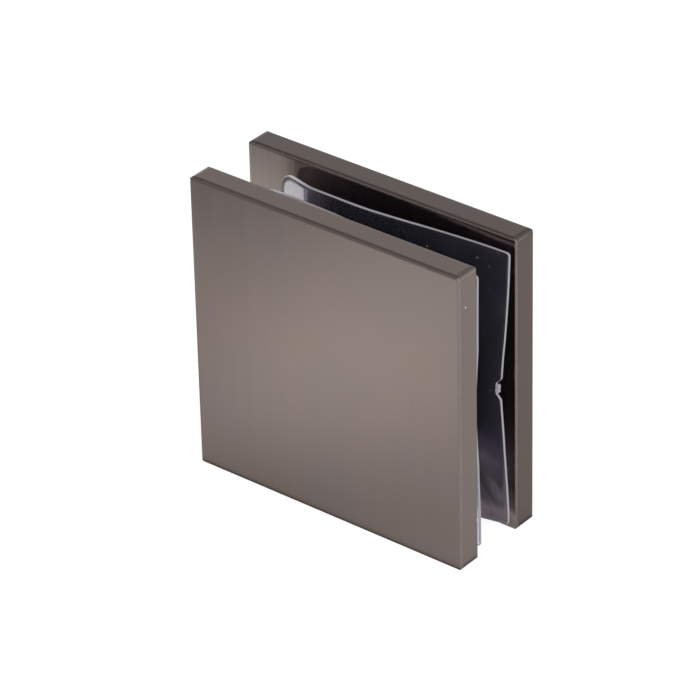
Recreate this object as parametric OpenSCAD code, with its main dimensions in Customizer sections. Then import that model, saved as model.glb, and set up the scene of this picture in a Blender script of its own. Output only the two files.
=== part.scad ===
// Wall-mounted U-clamp for a fixed glass panel with one bolt hole.
// Two square metal plates stand on either side of the glass, each lined with a clear vinyl gasket.
// The front plate carries the web that screws to the wall and the tapped boss that passes through
// the glass. One countersunk screw in the back plate pulls that plate onto the glass.
// X runs out from the wall along the glass, Y through the glass, Z up the wall. The origin is on
// the wall face, midway up and midway between the plates.

/* [Plates] */
// Width of each plate, from the wall out
plate_width = 50.8; // [46:0.1:70]
// Height of each plate
plate_height = 50.8; // [46:0.1:70]
// Thickness of each plate
plate_thick = 4.25; // [4:0.05:6]
// Gap between the plates, as the clamp is packed
plate_gap = 9.5; // [9:0.1:14]
// Radius of the broken edges of the plates
edge_round = 0.5; // [0.2:0.05:0.8]
// Radius of the plates' corners, seen from the front
corner_round = 1; // [0.5:0.1:2]

/* [Wall web] */
// Thickness of the web, from the wall out
web_thick = 6; // [5:0.1:7]
// Height of the web
web_height = 23.5; // [23.4:0.1:28]
// Space left between the end of the web and the back plate
web_gap = 0.5; // [0.5:0.05:0.9]
// Height of the tongue on the end of the web
tongue_height = 16; // [10:0.5:20]
// Thickness of the tongue
tongue_thick = 3; // [2:0.1:3.4]
// How far the tongue stands out of the web
tongue_reach = 1.5; // [1:0.1:1.8]
// Clearance round the tongue in its slot
tongue_clear = 0.25; // [0.1:0.05:0.4]
// Diameter of the two wall screw holes
wall_hole_d = 4.5; // [3.5:0.1:5]
// Distance between the wall screw holes
wall_hole_spacing = 14; // [13.5:0.1:14.8]
// Diameter of the wall screws' countersinks
wall_head_d = 8; // [7:0.1:8.2]

/* [Clamp screw] */
// Distance of the clamp screw from the wall
screw_from_wall = 26; // [24:0.5:28]
// Thread size of the clamp screw
screw_d = 6; // [5:0.5:6]
// Pitch of its thread
screw_pitch = 1; // [0.8:0.05:1.2]
// Overall length of the screw
screw_length = 12; // [11:0.5:12.5]
// Diameter of the countersunk head
head_d = 11.3; // [10:0.1:11.5]
// Height of the straight rim round the head
head_rim = 0.4; // [0.2:0.05:0.5]
// Depth of the head below the face of the back plate
head_sink = 0.15; // [0.05:0.05:0.3]
// Size of the hexagon socket across its flats
hex_flats = 4; // [3:0.5:4]
// Depth of the hexagon socket
hex_depth = 2.4; // [1.5:0.1:2.6]
// Clearance round the shank in the back plate
shank_clear = 0.3; // [0.1:0.05:0.4]
// Clearance between the screw's thread and the tapped hole
thread_clear = 0.05; // [0.03:0.01:0.08]
// Clearance between the screw's head and its countersink
seat_clear = 0.05; // [0.03:0.01:0.08]

/* [Boss and bush] */
// Diameter of the tapped boss on the front plate
boss_d = 10; // [9:0.1:11]
// Height of the boss above the plate's inner face
boss_height = 6.5; // [5.5:0.1:7]
// Depth of the tapped hole, from the end of the boss
tapped_depth = 8; // [7.5:0.1:8.4]
// Wall of the bush that lines the hole in the glass
bush_wall = 1.9; // [1:0.1:2]
// Length of the bush
bush_length = 8.2; // [6.5:0.1:8.4]
// Clearance between the bush and the boss
bush_clear = 0.1; // [0.05:0.05:0.2]

/* [Gaskets] */
// Thickness of the vinyl
gasket_thick = 0.7; // [0.5:0.05:1]
// Space between the web and the edge of each gasket
gasket_web_gap = 2.2; // [0.5:0.1:3]
// Inset of each gasket from the plates' open edge
gasket_open_inset = 0.4; // [0.1:0.1:2]
// Inset of each gasket from the plates' top and bottom edges, when centred
gasket_margin = 1.9; // [1:0.05:3]
// How far the front gasket has slipped down
front_drop = 0.15; // [0:0.05:0.8]
// How far the back gasket has slipped down
back_drop = 0; // [0:0.05:0.8]
// Clearance round the bush in each gasket
gasket_hole_clear = 0.95; // [0.9:0.05:1.2]
// Radius of the gasket's corners on the wall side
wall_corner_r = 2.4; // [1:0.1:4]
// Radius of the gasket's corners on the open side
open_corner_r = 0.5; // [0.3:0.1:2]
// Height of the moulding gate's notch at its mouth
gate_mouth = 3.7; // [3:0.1:5]
// Height of that notch at its floor
gate_floor = 1.9; // [1:0.1:2.5]
// Depth of that notch
gate_depth = 0.9; // [0.4:0.1:1.5]
// Height of that notch above the middle of the gasket
gate_rise = 0.95; // [0:0.05:2]
// How far the open edge is drawn in at that notch
gate_dip = 0.35; // [0:0.05:0.6]
// Length of open edge over which it is drawn in
gate_dip_length = 18; // [8:0.5:24]
// Least space between a gasket and its plate
gasket_rest = 0.05; // [0.02:0.01:0.1]
// How far the back gasket stands off its plate round its hole
back_rise = 2.8; // [0:0.1:3]
// How far the front gasket stands off its plate round its hole
front_rise = 0.2; // [0:0.1:1]

/* [Hidden] */

// Stand-off of each gasket's rim from its plate, by the angle about the hole. 0 points away from
// the wall and 90 up. The back gasket is domed: its right-hand corners dip to the plate.
back_bow = [
    [-180, 0.5], [-130, 0.9], [-100, 1.7], [-60, 2.2], [-50, 2.1], [-43, 0.85], [-34, 1.35],
    [-20, 2.05], [-3, 2.3], [14, 2.05], [22, 1.75], [36, 0.95], [44, 0.6], [50, 0.7], [63, 1.35],
    [76, 2.05], [90, 2.6], [98, 2.7], [106, 2.6], [122, 2.05], [130, 1.35], [180, 0.5]
];
front_bow = [
    [-180, 0.4], [-130, 0.6], [-60, 0.6], [-36, 0.4], [-27, 0.1], [-18, 0], [31, 0], [44, 0.1],
    [67, 0.8], [98, 1.5], [107, 1.75], [117, 2.1], [121, 2.35], [124, 2.25], [130, 1.3], [180, 0.4]
];

inner_face = plate_gap / 2;
outer_face = inner_face + plate_thick;
web_reach = plate_gap - web_gap;
web_middle = web_reach / 2 - inner_face;
slot_depth = tongue_reach + tongue_clear;
screw_core_d = screw_d - 0.65 * screw_pitch;
bush_bore_d = boss_d + 2 * bush_clear;
bush_d = bush_bore_d + 2 * bush_wall;
gasket_hole_r = bush_d / 2 + gasket_hole_clear;
gasket_left = web_thick + gasket_web_gap;
gasket_right = plate_width - gasket_open_inset;
gasket_half = plate_height / 2 - gasket_margin;
mouth_chamfer = 0.5;
drill_angle = 59;
overcut = 1;
edge_steps = 4;
corner_steps = 5;
side_step = 2.5;
rings = 6;
$fn = 64;

function side_points(from, to) =
    let (n = max(1, ceil(norm(to - from) / side_step)))
    [for (i = [0 : n - 1]) from + (to - from) * i / n];

function corner_points(middle, r, start) =
    [for (i = [0 : corner_steps - 1])
        middle + r * [cos(start + 90 * i / corner_steps), sin(start + 90 * i / corner_steps)]];

function soft_rectangle(w, h, r) =
    let (x = w / 2 - r, y = h / 2 - r, middles = [[x, y], [-x, y], [-x, -y], [x, -y]])
    [for (q = [0 : 3]) for (i = [0 : edge_steps])
        let (a = 90 * (q + i / edge_steps))
        middles[q] + r * [cos(a), sin(a)]];

// The gasket's outline, counter-clockwise from the notch left by its moulding gate, on the
// middle of the hole as its origin
function gasket_outline() =
    let (
        left = gasket_left - screw_from_wall, right = gasket_right - screw_from_wall,
        top = gasket_half, w = wall_corner_r, o = open_corner_r,
        mouth = right - gate_dip, floor = mouth - gate_depth, reach = gate_dip_length / 2
    )
    concat(
        side_points([mouth, gate_rise + gate_mouth / 2], [right, gate_rise + reach]),
        side_points([right, gate_rise + reach], [right, top - o]),
        corner_points([right - o, top - o], o, 0),
        side_points([right - o, top], [left + w, top]),
        corner_points([left + w, top - w], w, 90),
        side_points([left, top - w], [left, w - top]),
        corner_points([left + w, w - top], w, 180),
        side_points([left + w, -top], [right - o, -top]),
        corner_points([right - o, o - top], o, 270),
        side_points([right, o - top], [right, gate_rise - reach]),
        side_points([right, gate_rise - reach], [mouth, gate_rise - gate_mouth / 2]),
        [
            [mouth, gate_rise - gate_mouth / 2],
            [floor, gate_rise - gate_floor / 2],
            [floor, gate_rise + gate_floor / 2]
        ]
    );

// Points run in rings from the hole to the rim, first on the plate side, then on the glass side
function gasket_points(bow, rise) =
    let (rim = gasket_outline())
    [for (skin = [0, gasket_thick]) for (k = [0 : rings]) for (p = rim)
        let (
            on_hole = gasket_hole_r * p / norm(p),
            flat = on_hole + (p - on_hole) * k / rings,
            stand_off = rise + (lookup(atan2(p.y, p.x), bow) - rise) * k / rings
        )
        [flat.x, gasket_rest + stand_off + skin, flat.y]];

function gasket_faces(n) =
    let (layer = n * (rings + 1))
    concat(
        [for (k = [0 : rings - 1]) for (i = [0 : n - 1]) for (half = [0, 1])
            let (a = k * n + i, b = k * n + (i + 1) % n, c = b + n, d = a + n)
            half == 0 ? [a, b, c] : [a, c, d]],
        [for (k = [0 : rings - 1]) for (i = [0 : n - 1]) for (half = [0, 1])
            let (a = layer + k * n + i, b = layer + k * n + (i + 1) % n, c = b + n, d = a + n)
            half == 0 ? [a, c, b] : [a, d, c]],
        [for (k = [0, rings]) for (i = [0 : n - 1]) for (half = [0, 1])
            let (
                a = k * n + i, b = k * n + (i + 1) % n, c = b + layer, d = a + layer,
                quad = k == 0 ? [a, d, c, b] : [a, b, c, d]
            )
            half == 0 ? [quad[0], quad[1], quad[2]] : [quad[0], quad[2], quad[3]]]
    );

module soft_block(size, r, corner_r) {
    intersection() {
        linear_extrude(size.z, center = true)
            polygon(soft_rectangle(size.x, size.y, r));
        rotate([90, 0, 0])
            linear_extrude(size.y, center = true)
                polygon(soft_rectangle(size.x, size.z, corner_r));
        rotate([90, 0, 90])
            linear_extrude(size.x, center = true)
                polygon(soft_rectangle(size.y, size.z, r));
    }
}

// One plate, its inner face on the plane y = 0 and its thickness towards -Y
module blank_plate() {
    translate([plate_width / 2, -plate_thick / 2, 0])
        soft_block([plate_width, plate_thick, plate_height], edge_round, corner_round);
}

// Places what is drawn along +Z on the clamp screw's axis, pointing towards -Y from y = start
module on_screw_axis(start) {
    translate([screw_from_wall, start, 0])
        rotate([90, 0, 0])
            children();
}

// A hole along X through the web, countersunk on the side away from the wall
module wall_hole() {
    sink = (wall_head_d - wall_hole_d) / 2;
    rotate([0, 90, 0]) {
        translate([0, 0, -overcut])
            cylinder(d = wall_hole_d, h = web_thick + 2 * overcut);
        translate([0, 0, web_thick - sink])
            cylinder(d1 = wall_hole_d, d2 = wall_head_d, h = sink);
        translate([0, 0, web_thick])
            cylinder(d = wall_head_d, h = overcut);
    }
}

// The blind tapped hole, its mouth at z = 0 and its depth towards +Z
module tapped_hole() {
    r = screw_core_d / 2 + thread_clear;
    translate([0, 0, -overcut])
        cylinder(r = r, h = tapped_depth + overcut);
    translate([0, 0, tapped_depth])
        cylinder(r1 = r, r2 = 0, h = r / tan(drill_angle));
    cylinder(r1 = r + mouth_chamfer, r2 = r, h = mouth_chamfer);
}

// The fixed half: plate, wall web with its tongue, and tapped boss, cast in one piece
module front_plate() {
    color("#6f6461")
    difference() {
        union() {
            translate([0, -inner_face, 0])
                blank_plate();
            translate([0, -inner_face - edge_round, -web_height / 2])
                cube([web_thick, web_reach + edge_round, web_height]);
            translate([(web_thick - tongue_thick) / 2, 0, -tongue_height / 2])
                cube([tongue_thick, web_reach - inner_face + tongue_reach, tongue_height]);
            on_screw_axis(boss_height - inner_face)
                cylinder(d = boss_d, h = boss_height + plate_thick / 2);
        }
        for (side = [-1, 1])
            translate([0, web_middle, side * wall_hole_spacing / 2])
                wall_hole();
        on_screw_axis(boss_height - inner_face)
            tapped_hole();
    }
}

// The loose half: plate with the slot for the tongue and the countersunk hole for the screw
module back_plate() {
    hole_r = screw_d / 2 + shank_clear;
    mouth_r = head_d / 2 + seat_clear + head_rim + head_sink;
    color("#6f6461")
    difference() {
        translate([0, outer_face, 0])
            blank_plate();
        translate([
            (web_thick - tongue_thick) / 2 - tongue_clear,
            inner_face - overcut,
            -tongue_height / 2 - tongue_clear
        ])
            cube([
                tongue_thick + 2 * tongue_clear,
                slot_depth + overcut,
                tongue_height + 2 * tongue_clear
            ]);
        on_screw_axis(outer_face + overcut)
            cylinder(r = hole_r, h = plate_thick + 2 * overcut);
        on_screw_axis(outer_face)
            cylinder(r1 = mouth_r, r2 = hole_r, h = mouth_r - hole_r);
        on_screw_axis(outer_face + overcut)
            cylinder(r = mouth_r, h = overcut);
    }
}

// A clear vinyl lining, bowed as it lies in the clamp, on the front plate's inner face
module bowed_gasket(bow, rise, drop) {
    points = gasket_points(bow, rise);
    color("#c9c6cd", 0.5)
        translate([screw_from_wall, -inner_face, -drop])
            polyhedron(points, gasket_faces(len(gasket_outline())));
}

module front_gasket() {
    bowed_gasket(front_bow, front_rise, front_drop);
}

module back_gasket() {
    mirror([0, 1, 0])
        bowed_gasket(back_bow, back_rise, back_drop);
}

// The sleeve round the boss that keeps the metal off the glass
module glass_bush() {
    color("#dcdce0")
    on_screw_axis(bush_length - inner_face)
        difference() {
            cylinder(d = bush_d, h = bush_length);
            translate([0, 0, -overcut])
                cylinder(d = bush_bore_d, h = bush_length + 2 * overcut);
        }
}

// The countersunk socket screw that draws the plates together
module clamp_screw() {
    core_r = screw_core_d / 2;
    head_r = head_d / 2;
    cone_h = head_r - core_r;
    color("#8c8480")
    on_screw_axis(outer_face - head_sink)
        difference() {
            union() {
                cylinder(r = head_r, h = head_rim);
                translate([0, 0, head_rim])
                    cylinder(r1 = head_r, r2 = core_r, h = cone_h);
                translate([0, 0, head_rim])
                    cylinder(r = core_r, h = screw_length - head_rim - mouth_chamfer);
                translate([0, 0, screw_length - mouth_chamfer])
                    cylinder(r1 = core_r, r2 = core_r - mouth_chamfer, h = mouth_chamfer);
            }
            translate([0, 0, -overcut])
                cylinder(d = hex_flats / cos(30), h = hex_depth + overcut, $fn = 6);
        }
}

front_plate();
back_plate();
front_gasket();
back_gasket();
glass_bush();
clamp_screw();
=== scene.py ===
import bpy
import math
import numpy as np
from mathutils import Matrix, Vector


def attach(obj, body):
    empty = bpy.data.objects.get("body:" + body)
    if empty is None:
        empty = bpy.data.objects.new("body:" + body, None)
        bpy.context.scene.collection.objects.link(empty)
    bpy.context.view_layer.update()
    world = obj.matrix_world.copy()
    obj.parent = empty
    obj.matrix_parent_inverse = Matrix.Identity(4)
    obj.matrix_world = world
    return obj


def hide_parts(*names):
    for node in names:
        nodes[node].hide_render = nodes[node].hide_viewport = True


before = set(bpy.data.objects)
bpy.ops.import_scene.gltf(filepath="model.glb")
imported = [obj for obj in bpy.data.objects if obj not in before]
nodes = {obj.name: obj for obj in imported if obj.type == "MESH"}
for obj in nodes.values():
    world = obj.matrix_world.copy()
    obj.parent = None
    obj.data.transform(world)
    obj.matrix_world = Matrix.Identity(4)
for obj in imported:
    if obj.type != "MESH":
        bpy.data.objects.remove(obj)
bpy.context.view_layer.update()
bpy.ops.object.select_all(action="DESELECT")
MM = 0.001

# Front plate. A brass square, cast in one piece with the web that stands on the wall and the tapped
# boss that passes through the glass. It is brushed up and down on its faces and sides and along its
# top, then given a dark bronze finish. Its rounded edges are painted lighter, a painted highlight.
# Its sides are painted a little darker and its top and inner face lighter, painted shading.
BRONZE = (0.245, 0.203, 0.190)
BRONZE_WARM = (0.257, 0.203, 0.182)
# The lighter colour of the rounded edges is a painted highlight.
BRONZE_PAINTED_HIGHLIGHT = (0.38, 0.33, 0.31)
# Painted shading: the front plate's sides are painted a little darker and its top lighter, and the
# inner faces of both plates lighter.
FRONT_SIDE_PAINTED_SHADE, FRONT_TOP_PAINTED_LIGHT = 0.97, 1.08
INNER_PAINTED_LIGHT, INNER_SMOOTHNESS = 1.36, 0.6
INNER_DEPTH = 4.85
LIES_FLAT = 0.72
EDGE_SOFTENING = 0.25 * MM
TO_MM, ALONG_BRUSH = 1000, 14
DUST = (0.45, 0.44, 0.43)
PLATE_DUST = {"cell": 2.4, "radius": 0.22, "share": 0.25}


def new_material(name):
    """An empty Principled material: the material, its tree and its shader."""
    material = bpy.data.materials.new(name)
    material.use_nodes = True
    tree = material.node_tree
    return material, tree, tree.nodes["Principled BSDF"]


def set_inputs(tree, node, inputs):
    """Sets a node's inputs, each given by name or number, to a value or to a socket to link."""
    for key, value in inputs.items():
        if isinstance(value, bpy.types.NodeSocket):
            tree.links.new(value, node.inputs[key])
        else:
            node.inputs[key].default_value = value


def add_node(tree, kind, inputs=None, **settings):
    """Adds a node with its settings and inputs."""
    made = tree.nodes.new(kind)
    for key, value in settings.items():
        setattr(made, key, value)
    set_inputs(tree, made, inputs or {})
    return made


def maths(tree, operation, *values):
    """One Math node and its result."""
    return add_node(tree, "ShaderNodeMath", dict(enumerate(values)), operation=operation).outputs[0]


def product(tree, first, *others):
    """Several values multiplied."""
    for other in others:
        first = maths(tree, "MULTIPLY", first, other)
    return first


def band(tree, value, low, high, to_low=0.0, to_high=1.0):
    """Maps a value between low and high to to_low and to_high, and clamps it."""
    inputs = {"Value": value, "From Min": low, "From Max": high, "To Min": to_low, "To Max": to_high}
    return add_node(tree, "ShaderNodeMapRange", inputs).outputs["Result"]


def mixed(tree, factor, first, second):
    """Mixes two colours, each a socket or an RGB triple."""
    first, second = (
        colour if isinstance(colour, bpy.types.NodeSocket) else (*colour, 1)
        for colour in (first, second)
    )
    inputs = {0: factor, 6: first, 7: second}
    return add_node(tree, "ShaderNodeMix", inputs, data_type="RGBA").outputs[2]


def scaled_place(tree, scale=(TO_MM, TO_MM, TO_MM), shift=(0, 0, 0)):
    """The place on the piece, scaled and then shifted. With no scale given it is in millimetres."""
    place = add_node(tree, "ShaderNodeTexCoord").outputs["Object"]
    inputs = {"Vector": place, "Location": shift, "Scale": scale}
    return add_node(tree, "ShaderNodeMapping", inputs).outputs[0]


def axis_of(tree, vector, axis):
    """One axis of a vector."""
    return add_node(tree, "ShaderNodeSeparateXYZ", {"Vector": vector}).outputs[axis]


def noise(tree, where, scale, detail=2.0, roughness=0.5):
    """A noise value from 0 to 1."""
    inputs = {"Vector": where, "Scale": scale, "Detail": detail, "Roughness": roughness}
    return add_node(tree, "ShaderNodeTexNoise", inputs).outputs["Fac"]


def varied(tree, noise_value, to_low, to_high):
    """Spreads the middle of a noise, where nearly all of it lies, from to_low to to_high."""
    return band(tree, noise_value, 0.3, 0.7, to_low, to_high)


def dust_specks(tree, where, cell, radius, share):
    """1 on a few small specks, one at most in each cell, both in millimetres, and 0 elsewhere."""
    cells = add_node(tree, "ShaderNodeTexVoronoi", {"Vector": where, "Scale": 1 / cell})
    chosen = add_node(tree, "ShaderNodeSeparateColor", {"Color": cells.outputs["Color"]})
    size = maths(tree, "MULTIPLY", chosen.outputs["Green"], radius / cell)
    near = maths(tree, "LESS_THAN", cells.outputs["Distance"], size)
    return maths(tree, "MULTIPLY", near, maths(tree, "LESS_THAN", chosen.outputs["Red"], share))


def relief(tree, height, depth, strength=1.0, over=None):
    """A normal that follows a height, depth millimetres deep, over another normal if one is given."""
    inputs = {"Height": height, "Strength": strength, "Distance": depth * MM}
    if over is not None:
        inputs["Normal"] = over
    return add_node(tree, "ShaderNodeBump", inputs).outputs[0]


def brushed_bronze(name, painted_side_shading, painted_top_shading):
    """Dark bronze on brushed brass. The two shading factors scale the colour of the plate's upright
    sides and of its top: painted shade below 1, painted light above it. The inner face is smoother
    and painted lighter, and the rounded edges are painted lighter, a painted highlight."""
    material, tree, shader = new_material(name)
    in_mm = scaled_place(tree)
    normal = add_node(tree, "ShaderNodeTexCoord").outputs["Normal"]
    nx, ny, nz = (maths(tree, "ABSOLUTE", axis_of(tree, normal, axis)) for axis in "XYZ")
    from_middle = maths(tree, "ABSOLUTE", axis_of(tree, in_mm, "Y"))
    inside = maths(tree, "LESS_THAN", from_middle, INNER_DEPTH)
    strokes = add_node(tree, "ShaderNodeMix", {
        0: maths(tree, "GREATER_THAN", nz, LIES_FLAT),
        4: scaled_place(tree, (TO_MM, TO_MM, ALONG_BRUSH)),
        5: scaled_place(tree, (ALONG_BRUSH, TO_MM, TO_MM)),
    }, data_type="VECTOR").outputs[1]
    broad = noise(tree, strokes, scale=0.45, detail=2)
    fine = noise(tree, strokes, scale=5.0, detail=3, roughness=0.65)
    cloud = noise(tree, in_mm, scale=0.07, detail=3, roughness=0.55)
    spread = noise(tree, in_mm, scale=0.9, detail=3, roughness=0.6)
    drawn = maths(tree, "MULTIPLY", noise(tree, strokes, scale=1.5, detail=2), inside)
    specks = dust_specks(tree, in_mm, **PLATE_DUST)

    facing = maths(tree, "MAXIMUM", nx, maths(tree, "MAXIMUM", ny, nz))
    rounded = band(tree, maths(tree, "SUBTRACT", 1.0, facing), 0.01, 0.2)
    # The rounded edges are painted lighter in patches: a painted highlight.
    painted_edge_highlight = product(tree, rounded, band(tree, spread, 0.3, 0.65, 0.3, 0.8), 0.5)
    # Painted shading of the upright sides, the top and the inner face, times the brushing's own tone.
    shade = product(
        tree,
        varied(tree, broad, 0.98, 1.02),
        varied(tree, fine, 0.985, 1.015),
        band(tree, nx, 0.3, 0.7, 1.0, painted_side_shading),
        band(tree, nz, 0.3, 0.7, 1.0, painted_top_shading),
        band(tree, inside, 0, 1, 1.0, INNER_PAINTED_LIGHT),
    )
    base = mixed(tree, band(tree, cloud, 0.35, 0.65), BRONZE, BRONZE_WARM)
    base_with_painted_shade = add_node(tree, "ShaderNodeVectorMath", {0: base, 3: shade}, operation="SCALE")
    with_painted_highlight = mixed(tree, painted_edge_highlight, base_with_painted_shade.outputs[0], BRONZE_PAINTED_HIGHLIGHT)
    grain = maths(
        tree, "ADD", varied(tree, broad, 0.34, 0.365), band(tree, fine, 0.25, 0.75, -0.02, 0.03)
    )
    grain = maths(tree, "MULTIPLY", grain, band(tree, inside, 0, 1, 1.0, INNER_SMOOTHNESS))
    softened = add_node(tree, "ShaderNodeBevel", {"Radius": EDGE_SOFTENING}, samples=6).outputs[0]
    waves = relief(tree, drawn, depth=0.014, over=softened)
    set_inputs(tree, shader, {
        "Base Color": mixed(tree, specks, with_painted_highlight, DUST),
        "Metallic": maths(tree, "SUBTRACT", 1.0, specks),
        "Roughness": maths(tree, "ADD", grain, maths(tree, "MULTIPLY", specks, 0.4)),
        "Normal": relief(tree, fine, depth=0.01, strength=0.25, over=waves),
    })
    return material


def finish_node(name, material):
    """Gives a CAD node its finish."""
    mesh = nodes[name].data
    mesh.materials.clear()
    mesh.materials.append(material)


finish_node("front_plate", brushed_bronze("dark_bronze_front_painted_shading", FRONT_SIDE_PAINTED_SHADE, FRONT_TOP_PAINTED_LIGHT))

# Glass bush. A turned nylon sleeve over the boss, which lines the hole in the glass. Both its
# ends are chamfered. Natural nylon is off-white and slightly waxy.
SCREW_X = 26.0
SCREW_AXIS = SCREW_X * MM
PLATE_FACE = 4.75 * MM
BUSH_BORE, BUSH_OUTSIDE, BUSH_LENGTH, BUSH_CHAMFER = 5.1 * MM, 7.0 * MM, 8.2 * MM, 0.3 * MM
MERGE_WITHIN = 0.002 * MM
NYLON = (0.78, 0.77, 0.74)
NYLON_WAXY = (0.72, 0.71, 0.67)


def turned(name, profile, steps=96):
    """A piece turned about the clamp screw's axis from a closed profile of (radius, y)."""
    bpy.ops.object.select_all(action="DESELECT")
    bpy.ops.mesh.primitive_plane_add(size=MM)
    piece = bpy.context.object
    piece.name = name
    bpy.ops.object.mode_set(mode="EDIT")
    bpy.ops.mesh.merge(type="CENTER")
    bpy.ops.transform.translate(value=Vector((SCREW_AXIS + profile[0][0], profile[0][1], 0)))
    for (r0, y0), (r1, y1) in zip(profile, profile[1:]):
        bpy.ops.mesh.extrude_region_move(TRANSFORM_OT_translate={"value": (r1 - r0, y1 - y0, 0)})
    bpy.ops.mesh.select_all(action="SELECT")
    bpy.ops.mesh.spin(steps=steps, angle=math.tau, center=(SCREW_AXIS, 0, 0), axis=(0, 1, 0))
    bpy.ops.mesh.select_all(action="SELECT")
    bpy.ops.mesh.remove_doubles(threshold=MERGE_WITHIN)
    bpy.ops.mesh.normals_make_consistent(inside=False)
    bpy.ops.object.mode_set(mode="OBJECT")
    bpy.ops.object.shade_smooth_by_angle(angle=math.radians(30))
    return piece


def moulded_nylon():
    """Natural nylon, slightly cloudy and finely grained, which light enters a little."""
    material, tree, shader = new_material("natural_nylon")
    in_mm = scaled_place(tree)
    cloud = noise(tree, in_mm, scale=0.25, detail=3)
    grain = noise(tree, in_mm, scale=9.0, detail=2)
    set_inputs(tree, shader, {
        "Base Color": mixed(tree, cloud, NYLON, NYLON_WAXY),
        "Roughness": varied(tree, grain, 0.42, 0.55),
        "Subsurface Weight": 0.2,
        "Subsurface Scale": 0.6 * MM,
        "Normal": relief(tree, grain, depth=0.02, strength=0.2),
    })
    return material


near_end, far_end = -PLATE_FACE, BUSH_LENGTH - PLATE_FACE
bush = turned("nylon_bush", [
    (BUSH_BORE, near_end + BUSH_CHAMFER), (BUSH_BORE, far_end - BUSH_CHAMFER),
    (BUSH_BORE + BUSH_CHAMFER, far_end), (BUSH_OUTSIDE - BUSH_CHAMFER, far_end),
    (BUSH_OUTSIDE, far_end - BUSH_CHAMFER), (BUSH_OUTSIDE, near_end + BUSH_CHAMFER),
    (BUSH_OUTSIDE - BUSH_CHAMFER, near_end), (BUSH_BORE + BUSH_CHAMFER, near_end),
    (BUSH_BORE, near_end + BUSH_CHAMFER),
])
bush.data.materials.append(moulded_nylon())
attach(bush, "fixed_half")
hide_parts("glass_bush")

# Front gasket. A soft lining of clear vinyl between the plate and the glass, moulded flat with a
# hole for the bush and now bowed from storage. The mould's gate was broken off at the middle of
# its open edge and left a notch. Its top stands off the plate, most of all near the wall.
VINYL_THICK, OPEN_EDGE_THIN = 0.7, 0.35
THINNING_FROM, THINNING_TO, WALL_THIN = -18, -8, 0.4
HOLE_R = 7.95
LEFT, RIGHT, HALF_HEIGHT = 8.2 - SCREW_X, 50.4 - SCREW_X, 23.5
WALL_CORNER, OPEN_CORNER = 2.4, 0.5
GATE_Z, GATE_MOUTH, GATE_FLOOR, GATE_DEPTH = 0.95, 3.7, 1.9, 0.9
GATE_MIDDLE = 0.9
SCAR_SIZE, SCAR_ROUGHNESS, SCAR_PROUD, SCAR_DROP = (0.5, 0.55, 1.35), 0.18, 0.1, 0.2
RINGS, RING_GROWTH = 20, 1.07
REST = 0.05
LEAN_REACH = 3.0
BEND_FROM, BEND_RADIUS = 14.6 - SCREW_X, 0.5
RIM_WEAR = 0.12 * MM
VINYL = (0.75, 0.76, 0.93)
VINYL_HAZY = (0.72, 0.73, 0.91)
# Whiter colour painted on the vinyl's wall end: painted light.
VINYL_PAINTED_LIGHT = (0.9, 0.87, 0.9)
VINYL_EDGE = (0.47, 0.455, 0.495)
VINYL_EDGE_SAWN = (0.40, 0.385, 0.43)
VINYL_DUST = {"cell": 1.2, "radius": 0.14, "share": 0.35}
FRONT_BOW = [
    (-180, 0.4), (-130, 0.6), (-60, 0.6), (-36, 0.4), (-27, 0.1), (-18, 0), (31, 0), (44, 0.1),
    (67, 0.9), (90, 1.65), (98, 2.0), (107, 2.15), (117, 2.3), (121, 2.45), (124, 2.3),
    (130, 1.3), (180, 0.4),
]


def stepped(start, end, step=0.6):
    """Points from start up to but without end, evenly spaced."""
    start, end = Vector(start), Vector(end)
    count = max(1, math.ceil((end - start).length / step))
    return [start.lerp(end, i / count) for i in range(count)]


def cornered(middle, radius, start, count=10):
    """A quarter turn of points, up to but without its end."""
    angles = [math.radians(start + 90 * i / count) for i in range(count)]
    return [Vector(middle) + radius * Vector((math.cos(a), math.sin(a))) for a in angles]


def gasket_outline(dip, dip_length):
    """The rim in millimetres from the middle of the hole, in X and Z, from the gate's notch.
    The open edge is drawn in by dip at that notch, over dip_length of the edge."""
    mouth, floor = RIGHT - dip, RIGHT - dip - GATE_DEPTH
    reach, top, w, o = dip_length / 2, HALF_HEIGHT, WALL_CORNER, OPEN_CORNER
    return [
        *stepped((mouth, GATE_Z + GATE_MOUTH / 2), (RIGHT, GATE_Z + reach)),
        *stepped((RIGHT, GATE_Z + reach), (RIGHT, top - o)),
        *cornered((RIGHT - o, top - o), o, 0),
        *stepped((RIGHT - o, top), (LEFT + w, top)),
        *cornered((LEFT + w, top - w), w, 90),
        *stepped((LEFT, top - w), (LEFT, w - top)),
        *cornered((LEFT + w, w - top), w, 180),
        *stepped((LEFT + w, -top), (RIGHT - o, -top)),
        *cornered((RIGHT - o, o - top), o, 270),
        *stepped((RIGHT, o - top), (RIGHT, GATE_Z - reach)),
        *stepped((RIGHT, GATE_Z - reach), (mouth, GATE_Z - GATE_MOUTH / 2)),
        *stepped((mouth, GATE_Z - GATE_MOUTH / 2), (floor, GATE_Z - GATE_FLOOR / 2)),
        *stepped((floor, GATE_Z - GATE_FLOOR / 2), (floor, GATE_Z + GATE_FLOOR / 2)),
        *stepped((floor, GATE_Z + GATE_FLOOR / 2), (mouth, GATE_Z + GATE_MOUTH / 2)),
    ]


def rim_value(table, angle, blur=2.5):
    """A table's value at an angle round the rim, averaged over blur degrees to each side."""
    at = [(angle + blur * k / 3 + 180) % 360 - 180 for k in range(-3, 4)]
    return float(np.mean(np.interp(at, *zip(*table))))


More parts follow.
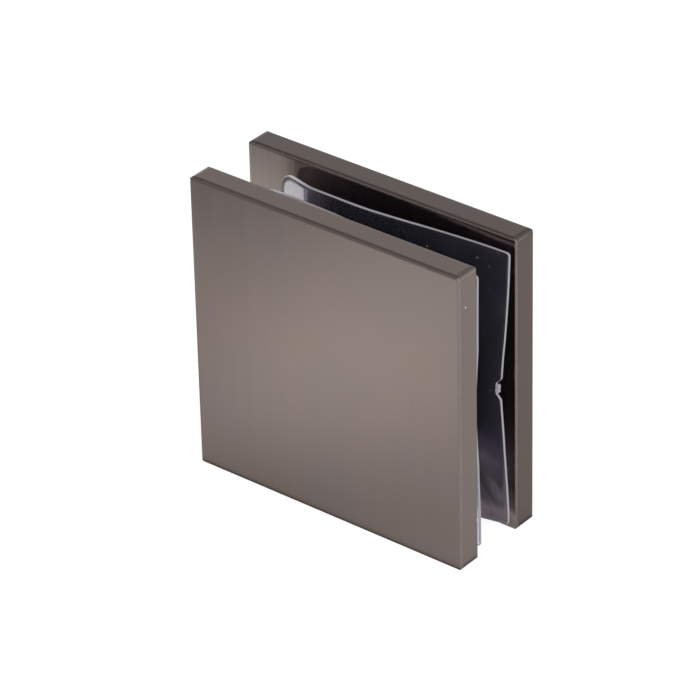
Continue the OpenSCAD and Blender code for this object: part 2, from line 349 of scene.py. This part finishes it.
def clear_vinyl(name, wall_end_painted_light=0.0):
    """Clear vinyl sheet with a few specks of dust. Its wall end is painted whiter and less clear by a
    share from 0 to 1: painted light.
    """
    material, tree, shader = new_material(name)
    in_mm = scaled_place(tree)
    haze = noise(tree, in_mm, scale=0.12, detail=3)
    ripple = noise(tree, in_mm, scale=0.35, detail=1)
    specks = dust_specks(tree, in_mm, **VINYL_DUST)
    wall_end = band(tree, axis_of(tree, in_mm, "X"), 13.5, 19, 1.0, 0.0)
    # Painted light: the wall end is painted whiter and less clear.
    painted_light_share = maths(tree, "MULTIPLY", wall_end, wall_end_painted_light)
    tint = mixed(tree, haze, VINYL, VINYL_HAZY)
    tint = mixed(tree, band(tree, painted_light_share, 0, 0.3), tint, VINYL_PAINTED_LIGHT)
    clear = maths(tree, "SUBTRACT", band(tree, specks, 0, 1, 0.985, 0.5), painted_light_share)
    rough = maths(tree, "ADD", varied(tree, haze, 0.03, 0.07), maths(tree, "MULTIPLY", specks, 0.5))
    set_inputs(tree, shader, {
        "Base Color": mixed(tree, specks, tint, DUST),
        "Transmission Weight": clear,
        "Roughness": rough,
        "IOR": 1.54,
        "Coat Weight": 1.0,
        "Normal": relief(tree, ripple, depth=0.05, strength=0.3),
    })
    return material


def cut_vinyl():
    """The sheet's cut edge, rough and half clear, and painted whiter at the wall end: painted light.
    """
    material, tree, shader = new_material("vinyl_cut_edge")
    in_mm = scaled_place(tree)
    saw = noise(tree, in_mm, scale=3.0, detail=3, roughness=0.6)
    # Painted light: the cut edge is painted whiter at the wall end.
    wall_end = band(tree, axis_of(tree, in_mm, "X"), 10, 15, 1.0, 0.0)
    sawn = mixed(tree, saw, VINYL_EDGE, VINYL_EDGE_SAWN)
    set_inputs(tree, shader, {
        "Base Color": mixed(tree, wall_end, sawn, VINYL_PAINTED_LIGHT),
        "Roughness": varied(tree, saw, 0.3, 0.5),
        "Transmission Weight": 0.3,
        "IOR": 1.52,
        "Normal": relief(tree, saw, depth=0.05, strength=0.4),
    })
    return material


def gate_scar(name, middle):
    """The torn stub of the mould's gate, a rough whitened lump on the notch's floor."""
    bpy.ops.object.select_all(action="DESELECT")
    bpy.ops.mesh.primitive_cube_add(size=MM)
    stub = bpy.context.object
    stub.name = name
    bpy.ops.object.mode_set(mode="EDIT")
    bpy.ops.transform.resize(value=SCAR_SIZE)
    bpy.ops.mesh.subdivide(number_cuts=5)
    bpy.ops.transform.vertex_random(offset=SCAR_ROUGHNESS * MM, uniform=0.2, normal=0.5, seed=4)
    bpy.ops.transform.translate(value=middle)
    bpy.ops.object.mode_set(mode="OBJECT")
    rounding = stub.modifiers.new("rounding", "SUBSURF")
    rounding.levels = rounding.render_levels = 1
    bpy.ops.object.modifier_apply(modifier=rounding.name)
    bpy.ops.object.shade_smooth()
    return stub


def bowed_gasket(name, vinyl, towards, middle_z, bow, rise, dip, dip_length,
                 lean=((-180, 0), (180, 0)), wall_bend=0.0):
    """A lining that stands off its plate by bow at the rim and by rise at the hole, in millimetres.
    Its glass side is towards +Y on the front plate (towards = 1) and -Y on the back one (-1). lean
    is the rim's slope, outwards and off the plate. wall_bend slopes the wall end to the plate."""
    rim = gasket_outline(dip, dip_length)
    bpy.ops.object.select_all(action="DESELECT")
    bpy.ops.mesh.primitive_circle_add(
        vertices=len(rim), radius=HOLE_R * MM, rotation=(math.pi / 2, 0, 0)
    )
    sheet = bpy.context.object
    sheet.name = name
    bpy.ops.object.transform_apply(location=False, rotation=True, scale=False)
    bpy.ops.object.mode_set(mode="EDIT")
    for ring in range(RINGS):
        bpy.ops.mesh.extrude_region_move(TRANSFORM_OT_translate={"value": (0, 0, 0)})
        bpy.ops.transform.resize(value=(RING_GROWTH, 1, RING_GROWTH))
    bpy.ops.object.mode_set(mode="OBJECT")
    angles = [math.degrees(math.atan2(p.y, p.x)) for p in rim]
    heights = [rim_value(bow, a) for a in angles]
    slopes = [rim_value(lean, a) for a in angles]
    thickness = sheet.vertex_groups.new(name="thickness")
    for vertex in sheet.data.vertices:
        ring, i = divmod(vertex.index, len(rim))
        share = ring / RINGS
        on_hole = rim[i].normalized() * HOLE_R
        flat = on_hole.lerp(rim[i], share)
        inwards = (rim[i] - flat).length
        curl = slopes[i] * inwards * math.exp(-inwards / LEAN_REACH)
        thinned = np.interp(flat.x, (THINNING_FROM, THINNING_TO), (WALL_THIN, 1))
        thin = OPEN_EDGE_THIN * float(thinned)
        thickness.add([vertex.index], 1 - thin, "REPLACE")
        past_bend = (BEND_FROM - flat.x + math.hypot(BEND_FROM - flat.x, BEND_RADIUS)) / 2
        lift = rise + (heights[i] - rise) * share - curl - wall_bend * past_bend
        stand_off = REST + VINYL_THICK * thin + max(0, lift)
        vertex.co = Vector((
            SCREW_AXIS + flat.x * MM,
            -towards * (PLATE_FACE - stand_off * MM),
            middle_z + flat.y * MM,
        ))
    bpy.ops.object.mode_set(mode="EDIT")
    bpy.ops.mesh.select_all(action="SELECT")
    bpy.ops.mesh.normals_make_consistent(inside=False)
    bpy.ops.object.mode_set(mode="OBJECT")
    if sheet.data.polygons[0].normal.y * towards < 0:
        sheet.data.flip_normals()
    sheet.data.materials.append(vinyl)
    sheet.data.materials.append(vinyl_edge)
    wall = sheet.modifiers.new("wall", "SOLIDIFY")
    wall.thickness = VINYL_THICK * MM
    wall.offset = 1
    wall.use_even_offset = True
    wall.material_offset_rim = 1
    wall.vertex_group = thickness.name
    bpy.ops.object.modifier_apply(modifier=wall.name)
    worn_rim = sheet.modifiers.new("worn_rim", "BEVEL")
    worn_rim.width = RIM_WEAR
    worn_rim.material = 1
    worn_rim.segments = 2
    worn_rim.limit_method = "ANGLE"
    worn_rim.angle_limit = math.radians(55)
    bpy.ops.object.modifier_apply(modifier=worn_rim.name)
    bpy.ops.object.shade_smooth_by_angle(angle=math.radians(40))
    at_notch = [h for p, h in zip(rim, heights) if p.x > 0 and abs(p.y - GATE_Z) < GATE_MIDDLE]
    across = REST + sum(at_notch) / len(at_notch) + VINYL_THICK / 2
    stub = gate_scar(name + "_gate", Vector((
        SCREW_AXIS + (RIGHT - dip - GATE_DEPTH + SCAR_PROUD) * MM,
        -towards * (PLATE_FACE - across * MM),
        middle_z + (GATE_Z - SCAR_DROP) * MM,
    )))
    stub.data.materials.append(vinyl_edge)
    sheet.select_set(True)
    bpy.context.view_layer.objects.active = sheet
    bpy.ops.object.join()
    return sheet


vinyl_edge = cut_vinyl()
front_lining = bowed_gasket(
    "front_vinyl_gasket", clear_vinyl("front_clear_vinyl"), towards=1, middle_z=-0.15 * MM,
    bow=FRONT_BOW, rise=0.2, dip=0.45, dip_length=20.0,
)
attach(front_lining, "fixed_half")
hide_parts("front_gasket")

# Back gasket. The same moulding turned to face the first, which goes with the back plate. It is
# domed more strongly, so that only its open-side corners come near the plate. Its wall end bends
# back towards the plate and mirrors the white past the wall edge.
BACK_BOW = [
    (-180, 0.5), (-130, 0.9), (-100, 1.7), (-60, 2.2), (-50, 2.1), (-43, 0.85), (-34, 1.35),
    (-20, 2.05), (-3, 2.3), (14, 2.05), (22, 1.75), (36, 0.95), (44, 0.6), (50, 0.7), (63, 1.35),
    (76, 2.05), (90, 2.6), (98, 2.7), (106, 2.65), (122, 2.65), (140, 2.6), (180, 2.0),
]
BACK_LEAN = [
    (-180, -0.2), (-60, 0), (-44, 0), (-34, -0.18), (34, -0.18), (45, -0.12), (62, -0.12),
    (80, 0.1), (93, 0.1), (104, 0), (130, 0), (140, -0.2), (180, -0.2),
]
# Its wall end is also painted a little whiter and less clear: painted light.
back_lining = bowed_gasket(
    "back_vinyl_gasket", clear_vinyl("back_clear_vinyl", wall_end_painted_light=0.06), towards=-1, middle_z=0.0,
    bow=BACK_BOW, rise=2.8, dip=0.35, dip_length=18.0, lean=BACK_LEAN, wall_bend=0.23,
)
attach(back_lining, "loose_half")
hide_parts("back_gasket")

# Back plate. The loose brass square, with a slot for the web's tongue and a countersunk hole, brushed
# and finished as the front plate is. Its sides and its top are painted darker, painted shade.
BACK_SIDE_PAINTED_SHADE, BACK_TOP_PAINTED_SHADE = 0.6, 0.8
finish_node("back_plate", brushed_bronze("dark_bronze_back_painted_shading", BACK_SIDE_PAINTED_SHADE, BACK_TOP_PAINTED_SHADE))

# Clamp screw. An M6 countersunk socket screw in plated steel, turned and thread-rolled, whose
# head lies just below the back plate's outer face.
HEAD_FACE = 8.85 * MM
HEAD_R, CORE_R, ROOT_R = 5.65 * MM, 2.675 * MM, 2.25 * MM
HEAD_RIM, HEAD_EDGE, PLAIN_NECK = 0.4 * MM, 0.15 * MM, 0.6 * MM
SCREW_LENGTH, END_CHAMFER = 12.0 * MM, 0.5 * MM
PITCH, ROWS_PER_TURN, FLANK = 1.0 * MM, 8, 2.4
THREAD_MARGIN = 0.02 * MM
HEX_FLATS, HEX_DEPTH = 4.0 * MM, 2.4 * MM
PLATED = (0.2, 0.17, 0.16)
PLATED_WARM = (0.24, 0.205, 0.19)


def plated_steel():
    """Dark bronze plating on steel, with the fine rings that the lathe left round the axis."""
    material, tree, shader = new_material("plated_screw_steel")
    on_axis = scaled_place(tree, shift=(-SCREW_X, 0, 0))
    across = add_node(tree, "ShaderNodeVectorMath", {0: on_axis, 1: (1, 0, 1)}, operation="MULTIPLY")
    radius = add_node(tree, "ShaderNodeVectorMath", {0: across.outputs[0]}, operation="LENGTH")
    inputs = {"W": radius.outputs["Value"], "Scale": 7.0, "Detail": 2.0}
    lathe = add_node(tree, "ShaderNodeTexNoise", inputs, noise_dimensions="1D").outputs["Fac"]
    cloud = noise(tree, on_axis, scale=0.6, detail=3)
    set_inputs(tree, shader, {
        "Base Color": mixed(tree, cloud, PLATED, PLATED_WARM),
        "Metallic": 1.0,
        "Roughness": varied(tree, lathe, 0.26, 0.38),
        "Normal": relief(tree, lathe, depth=0.01, strength=0.3),
    })
    return material


cone_end = HEAD_FACE - HEAD_RIM - (HEAD_R - CORE_R)
thread_start, thread_end = cone_end - PLAIN_NECK, HEAD_FACE - SCREW_LENGTH + END_CHAMFER
steps_down = round((thread_start - thread_end) / PITCH * ROWS_PER_TURN)
rows = [
    thread_start + (thread_end - thread_start) * i / steps_down for i in range(steps_down + 1)
]
screw = turned("countersunk_screw", [
    (0, HEAD_FACE), (HEAD_R - HEAD_EDGE, HEAD_FACE), (HEAD_R, HEAD_FACE - HEAD_EDGE),
    (HEAD_R, HEAD_FACE - HEAD_RIM), (CORE_R, cone_end),
    *((CORE_R, y) for y in rows),
    (CORE_R - END_CHAMFER, thread_end - END_CHAMFER), (0, thread_end - END_CHAMFER),
], steps=64)
for vertex in screw.data.vertices:
    away = Vector((vertex.co.x - SCREW_AXIS, vertex.co.z))
    threaded = thread_end + THREAD_MARGIN < vertex.co.y < thread_start - THREAD_MARGIN
    if threaded and away.length > CORE_R * 0.9:
        turn = (math.atan2(away.y, away.x) / math.tau + vertex.co.y / PITCH) % 1.0
        height = min(1.0, FLANK * abs(turn - 0.5))
        run_out = min(1.0, (thread_start - vertex.co.y) / PITCH)
        radius = CORE_R - (CORE_R - ROOT_R) * (1 - height) * run_out
        vertex.co.x = SCREW_AXIS + away.x / away.length * radius
        vertex.co.z = away.y / away.length * radius

bpy.ops.object.select_all(action="DESELECT")
bpy.ops.mesh.primitive_cylinder_add(
    vertices=6, radius=HEX_FLATS / 2 / math.cos(math.radians(30)), depth=2 * HEX_DEPTH,
    location=(SCREW_AXIS, HEAD_FACE, 0), rotation=(math.pi / 2, 0, 0),
)
hex_punch = bpy.context.object
bpy.context.view_layer.objects.active = screw
socket = screw.modifiers.new("socket", "BOOLEAN")
socket.operation = "DIFFERENCE"
socket.solver = "EXACT"
socket.object = hex_punch
bpy.ops.object.select_all(action="DESELECT")
screw.select_set(True)
bpy.ops.object.modifier_apply(modifier=socket.name)
bpy.data.objects.remove(hex_punch)
bpy.ops.object.shade_smooth_by_angle(angle=math.radians(30))
screw.data.materials.clear()
screw.data.materials.append(plated_steel())
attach(screw, "screw")
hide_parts("clamp_screw")

# Studio floor. Pale card that the clamp stands on. The camera and the clear vinyl see it white with
# the clamp's shadow. The metal mirrors a painted glow in place of the lit card: painted pools of
# light in front of the clamp and to its left, painted light behind on the left, and painted shadow
# under and between the plates.
FLOOR_SIZE, FLOOR_MIDDLE = 4, (25.4 * MM, 0, -25.4 * MM)
# Painted pools of light and painted light on the card, seen only in the metal's mirror.
POOL, POOL_REACH, POOL_LIGHT = (-29 * MM, -61 * MM, 0), 68 * MM, 0.86
LEFT_POOL, LEFT_POOL_REACH, LEFT_POOL_LIGHT = (-85 * MM, -35 * MM, 0), 33 * MM, 1.62
FAR_CORNER_LIGHT = 0.5
UNDER_HALF_LENGTH, UNDER_HALF_DEPTH = 26.2 * MM, 9.8 * MM
# Painted shade between the plates: at the front, at the back and near the open end.
BETWEEN_FRONT, BETWEEN_BACK, BETWEEN_OPEN_END = 0.15, 2.6, 0.25
CARD, CARD_SHADOWED, CARD_GLOW = (0.82, 0.82, 0.82, 1), (0.25, 0.25, 0.25, 1), 0.87
WHITE = (1, 1, 1, 1)


def pool_of_light(tree, place, middle, reach):
    """1 in the middle of a pool of light, falling smoothly to 0 at its reach."""
    away = add_node(tree, "ShaderNodeVectorMath", {0: place, 1: middle}, operation="DISTANCE")
    pool = band(tree, away.outputs["Value"], 0.0, reach, 1.0, 0.0)
    pool.node.interpolation_type = "SMOOTHERSTEP"
    return pool


def seen_plainly(tree):
    """Light Path, and 1 where the camera looks, also through the clear vinyl but not in a mirror."""
    rays = add_node(tree, "ShaderNodeLightPath")
    unmirrored = maths(tree, "LESS_THAN", rays.outputs["Glossy Depth"], 0.5)
    through_vinyl = maths(tree, "MULTIPLY", rays.outputs["Is Transmission Ray"], unmirrored)
    return rays, maths(tree, "MAXIMUM", rays.outputs["Is Camera Ray"], through_vinyl)


bpy.ops.object.select_all(action="DESELECT")
bpy.ops.mesh.primitive_plane_add(size=FLOOR_SIZE, location=FLOOR_MIDDLE)
floor = bpy.context.object
floor.name = "studio_floor"
floor_card = bpy.data.materials.new("pale_card")
floor_card.use_nodes = True
tree = floor_card.node_tree
tree.nodes.clear()
place = add_node(tree, "ShaderNodeTexCoord").outputs["Object"]
rightwards, backwards = axis_of(tree, place, "X"), axis_of(tree, place, "Y")
light = maths(
    tree, "ADD",
    band(tree, rightwards, -12 * MM, 50 * MM, 0.34, 0.58),
    band(tree, rightwards, -80 * MM, -30 * MM, -0.31, 0.0),
)
pool = pool_of_light(tree, place, POOL, POOL_REACH)
light = maths(tree, "MULTIPLY_ADD", pool, POOL_LIGHT, light)
left_pool = pool_of_light(tree, place, LEFT_POOL, LEFT_POOL_REACH)
light = maths(tree, "MULTIPLY_ADD", left_pool, LEFT_POOL_LIGHT, light)
far_corner = maths(
    tree, "MULTIPLY", band(tree, rightwards, -20 * MM, 0, 1, 0), band(tree, backwards, 0, 30 * MM)
)
light = product(tree, light, maths(tree, "MULTIPLY_ADD", far_corner, FAR_CORNER_LIGHT, 1.0))
from_middle = maths(tree, "ABSOLUTE", backwards)
under = maths(
    tree, "MULTIPLY",
    maths(tree, "LESS_THAN", from_middle, UNDER_HALF_DEPTH),
    maths(tree, "LESS_THAN", maths(tree, "ABSOLUTE", rightwards), UNDER_HALF_LENGTH),
)
open_end = maths(
    tree, "MULTIPLY",
    band(tree, rightwards, 14 * MM, 20 * MM), band(tree, backwards, 1 * MM, 3 * MM),
)
# Painted shadow under the plates. Between them, painted shade that lightens towards the back plate
# and is darker near the open end.
shade = product(
    tree,
    maths(tree, "LESS_THAN", from_middle, PLATE_FACE),
    band(tree, backwards, 0, PLATE_FACE, BETWEEN_FRONT, BETWEEN_BACK),
    band(tree, open_end, 0, 1, 1.0, BETWEEN_OPEN_END),
)
shaded = add_node(tree, "ShaderNodeMix", {"Factor": under, "A": 1.0, "B": shade})
light = product(tree, light, shaded.outputs["Result"])
painted_mirror_glow = add_node(tree, "ShaderNodeEmission", {"Color": WHITE, "Strength": light})
glow = add_node(tree, "ShaderNodeEmission", {"Color": WHITE, "Strength": CARD_GLOW})
rays, seen = seen_plainly(tree)
lit = add_node(tree, "ShaderNodeMixShader", {0: seen, 1: painted_mirror_glow.outputs[0], 2: glow.outputs[0]})
shadowed = add_node(tree, "ShaderNodeBsdfDiffuse", {"Color": CARD_SHADOWED})
shown = add_node(tree, "ShaderNodeAddShader", {0: shadowed.outputs[0], 1: lit.outputs[0]})
bounced = maths(tree, "MAXIMUM", rays.outputs["Is Glossy Ray"], rays.outputs["Is Transmission Ray"])
seen_at_all = maths(tree, "MAXIMUM", seen, bounced)
card = add_node(tree, "ShaderNodeBsdfDiffuse", {"Color": CARD})
inputs = {0: seen_at_all, 1: card.outputs[0], 2: shown.outputs[0]}
surface = add_node(tree, "ShaderNodeMixShader", inputs)
add_node(tree, "ShaderNodeOutputMaterial", {"Surface": surface.outputs[0]})
floor.data.materials.append(floor_card)

# Light tent. White to the camera and through the clear vinyl. What lights the clamp is a pale
# tent that darkens overhead, and the metal mirrors its front, where the camera stands, half lit.
TENT_WALLS, TENT_TOP, TENT_FRONT = 0.86, 0.18, 0.5
world = bpy.data.worlds.new("light_tent")
bpy.context.scene.world = world
world.use_nodes = True
tree = world.node_tree
tree.nodes.clear()
direction = add_node(tree, "ShaderNodeTexCoord").outputs["Generated"]
rays, seen = seen_plainly(tree)
front = band(tree, axis_of(tree, direction, "Y"), -0.3, 0.2, TENT_FRONT, 1.0)
unmirrored = maths(tree, "SUBTRACT", 1.0, rays.outputs["Is Glossy Ray"])
by_height = band(tree, axis_of(tree, direction, "Z"), 0.3, 0.75, TENT_WALLS, TENT_TOP)
strength = maths(tree, "MULTIPLY", maths(tree, "MAXIMUM", front, unmirrored), by_height)
walls = add_node(tree, "ShaderNodeBackground", {"Color": WHITE, "Strength": strength})
white = add_node(tree, "ShaderNodeBackground", {"Color": WHITE, "Strength": 1.0})
surface = add_node(tree, "ShaderNodeMixShader", {0: seen, 1: walls.outputs[0], 2: white.outputs[0]})
add_node(tree, "ShaderNodeOutputWorld", {"Surface": surface.outputs[0]})

# Softbox. One square lamp, in front of the clamp, to its right and above it. It is wide and weak,
# so that the faces that mirror it stay below white from every side.
CENTRE = Vector((25.4 * MM, 0, 0))
SOFTBOX_TOWARDS, SOFTBOX_DISTANCE = Vector((0.61, -0.48, 0.63)).normalized(), 0.6
SOFTBOX_SIZE, SOFTBOX_WATTS = 0.85, 5.0
softbox = bpy.data.lights.new("front_softbox", "AREA")
softbox.shape = "SQUARE"
softbox.size = SOFTBOX_SIZE
softbox.energy = SOFTBOX_WATTS
lamp = bpy.data.objects.new("front_softbox", softbox)
bpy.context.scene.collection.objects.link(lamp)
lamp.location = CENTRE + SOFTBOX_TOWARDS * SOFTBOX_DISTANCE
lamp.rotation_euler = SOFTBOX_TOWARDS.to_track_quat("Z", "Y").to_euler()

# Camera. A long lens at the photograph's place: it looks down on the clamp's open front corner.
# Roll, pan and tilt are the small turns that put the clamp where it is in the frame.
AZIMUTH, ELEVATION, ROLL = (math.radians(a) for a in (39.019, 31.437, -1.21))
PAN, TILT = math.radians(-0.161), math.radians(-0.019)
DISTANCE, FOCAL_PIXELS, FRAME_PIXELS = 0.672146, 4470.307, 700
back = Vector((
    math.sin(AZIMUTH) * math.cos(ELEVATION),
    -math.cos(AZIMUTH) * math.cos(ELEVATION),
    math.sin(ELEVATION),
))
level = Vector((math.cos(AZIMUTH), math.sin(AZIMUTH), 0))
upward = back.cross(level)
side = level * math.cos(ROLL) + upward * math.sin(ROLL)
rolled_up = upward * math.cos(ROLL) - level * math.sin(ROLL)
right = side * math.cos(PAN) + back * math.sin(PAN)
panned_back = back * math.cos(PAN) - side * math.sin(PAN)
up = rolled_up * math.cos(TILT) + panned_back * math.sin(TILT)
behind = panned_back * math.cos(TILT) - rolled_up * math.sin(TILT)
lens = bpy.data.cameras.new("camera")
lens.sensor_width = 36
lens.lens = FOCAL_PIXELS * lens.sensor_width / FRAME_PIXELS
lens.clip_start, lens.clip_end = 0.05, 20
camera = bpy.data.objects.new("camera", lens)
bpy.context.scene.collection.objects.link(camera)
stand = Matrix((right, up, behind)).transposed().to_4x4()
stand.translation = CENTRE + back * DISTANCE
camera.matrix_world = stand
bpy.context.scene.camera = camera
bpy.context.scene.view_settings.view_transform = "Standard"
